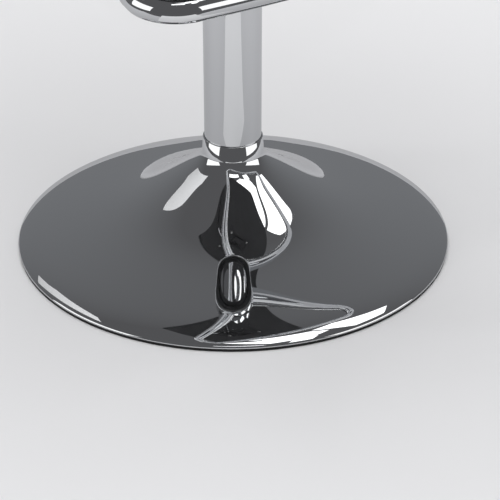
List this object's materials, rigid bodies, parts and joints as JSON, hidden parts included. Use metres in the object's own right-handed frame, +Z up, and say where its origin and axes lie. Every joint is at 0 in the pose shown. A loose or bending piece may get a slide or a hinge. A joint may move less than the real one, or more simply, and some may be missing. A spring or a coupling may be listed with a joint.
{
  "type": "adjustable bar stool",
  "caption": "Height-adjustable swivel bar stool on a chromed trumpet base, with a footrest loop, a side lever and an upholstered seat with a low back.",
  "frame": {"origin": "on the floor, under the middle of the column and of the seat", "axes": "+Z up along the column; the sitter faces -Y and the back is at +Y; the lever is at -X"},
  "size_m": [0.42, 0.4303, 1.0301],
  "materials": {
    "chrome": "polished",
    "ring_rubber": "matte",
    "ballast_iron": "matte",
    "zinc_steel": "satin",
    "bearing_steel": "polished",
    "cage_brass": "satin",
    "black_steel": "satin",
    "black_nylon": "satin",
    "grip_plastic": "satin",
    "plywood": "satin",
    "upholstery": "satin"
  },
  "bodies": {
    "base": {"base_shell": "chrome", "floor_ring": "ring_rubber", "ballast_disc": "ballast_iron", "hub_socket": "zinc_steel", "gussets": "zinc_steel", "ballast_bolts": "zinc_steel", "column_tube": "chrome", "column_foot": "zinc_steel", "lower_race": "bearing_steel", "bearing_balls": "bearing_steel", "ball_cage": "cage_brass", "top_bush": "black_nylon"},
    "rod": {"upper_race": "bearing_steel", "rod_clip": "zinc_steel", "rod_buffer": "ring_rubber", "piston_rod": "chrome", "piston": "black_nylon", "piston_nut": "zinc_steel"},
    "seat": {"rod_gland": "black_nylon", "gas_cylinder": "black_steel", "guide_ring": "black_nylon", "lift_tube": "chrome", "footrest_sleeve": "chrome", "footrest_loop": "chrome", "footrest_screws": "zinc_steel", "upper_collar": "black_nylon", "taper_socket": "zinc_steel", "mechanism_housing": "black_steel", "mount_plate": "black_steel", "lever_bracket": "zinc_steel", "lever_pin": "zinc_steel", "pin_clip": "zinc_steel", "seat_bolts": "zinc_steel", "seat_washers": "zinc_steel", "t_nuts": "zinc_steel", "seat_shell": "plywood", "shell_cover": "upholstery", "seat_cushion": "upholstery", "back_cushion": "upholstery"},
    "valve": {"valve_pin": "bearing_steel"},
    "lever": {"lever_rod": "chrome", "lever_grip": "grip_plastic"}
  },
  "joints": [
    {"name": "seat_swivel", "type": "hinge", "parent": "base", "child": "rod", "pos_m": [0, 0, 0.0285], "axis": [0, 0, 1], "continuous": true},
    {"name": "height_slide", "type": "slide", "parent": "rod", "child": "seat", "axis": [0, 0, 1], "range_m": [-0.18, 0]},
    {"name": "lever_pull", "type": "hinge", "parent": "seat", "child": "lever", "pos_m": [-0.02318, 0, 0.7585], "axis": [0, 1, 0], "range_deg": [0, 8], "stiffness_Nm_per_rad": 8, "springref_deg": -5.73},
    {"name": "valve_press", "type": "slide", "parent": "seat", "child": "valve", "axis": [0, 0, -1], "range_m": [0, 0.004]}
  ],
  "couplings": [
    {"joint": "valve_press", "follows": "lever_pull", "m_per_rad": 0.027}
  ]
}
